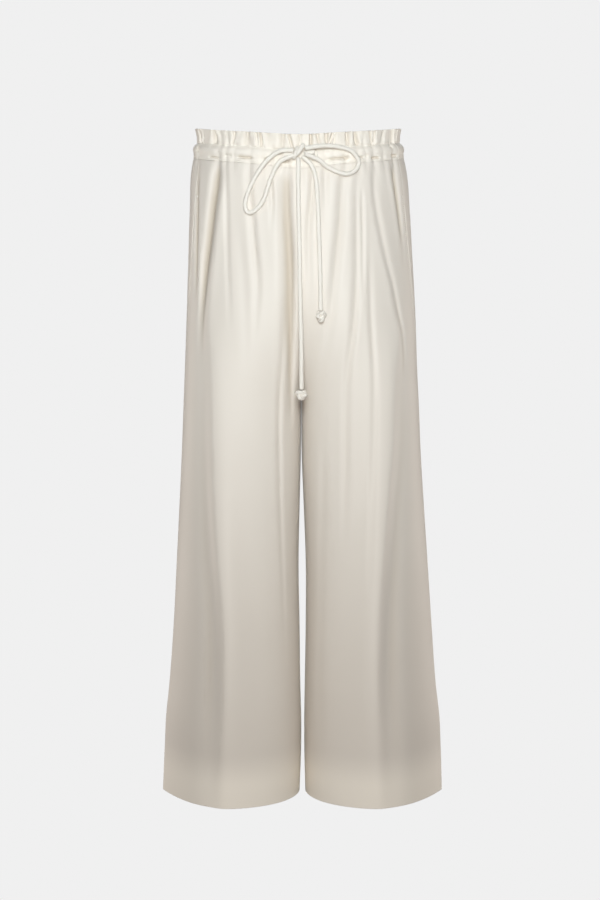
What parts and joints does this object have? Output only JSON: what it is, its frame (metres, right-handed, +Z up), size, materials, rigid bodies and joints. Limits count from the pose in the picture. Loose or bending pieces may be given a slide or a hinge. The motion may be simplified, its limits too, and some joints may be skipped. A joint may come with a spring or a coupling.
{
  "type": "wide-leg drawstring trousers",
  "caption": "Full-length wide-leg trousers in plain ivory cloth, hollow and filled out, with a frilled drawstring waist tied in a bow and in-seam pockets.",
  "frame": {"origin": "middle of the waist opening, level with the drawstring at the sides", "axes": "+Z up towards the frill, -Y out of the front where the bow is, +X towards the wearer's left"},
  "size_m": [0.429, 0.2573, 1.004],
  "materials": {
    "crepe": "smooth ivory satin-backed crepe, low soft sheen",
    "cord": "round ivory tubular cord of the same cloth"
  },
  "bodies": {
    "root": {"front_left": "crepe", "front_right": "crepe", "back_left": "crepe", "back_right": "crepe", "waist_casing_front": "crepe", "waist_casing_back": "crepe", "pocket_facing_left": "crepe", "pocket_facing_right": "crepe", "bow_knot": "cord", "cord_entry_left": "cord", "cord_entry_right": "cord", "loop_left": "cord", "loop_right": "cord", "tail_centre": "cord", "tail_left": "cord", "end_knot_centre": "cord", "end_knot_left": "cord"}
  },
  "joints": []
}
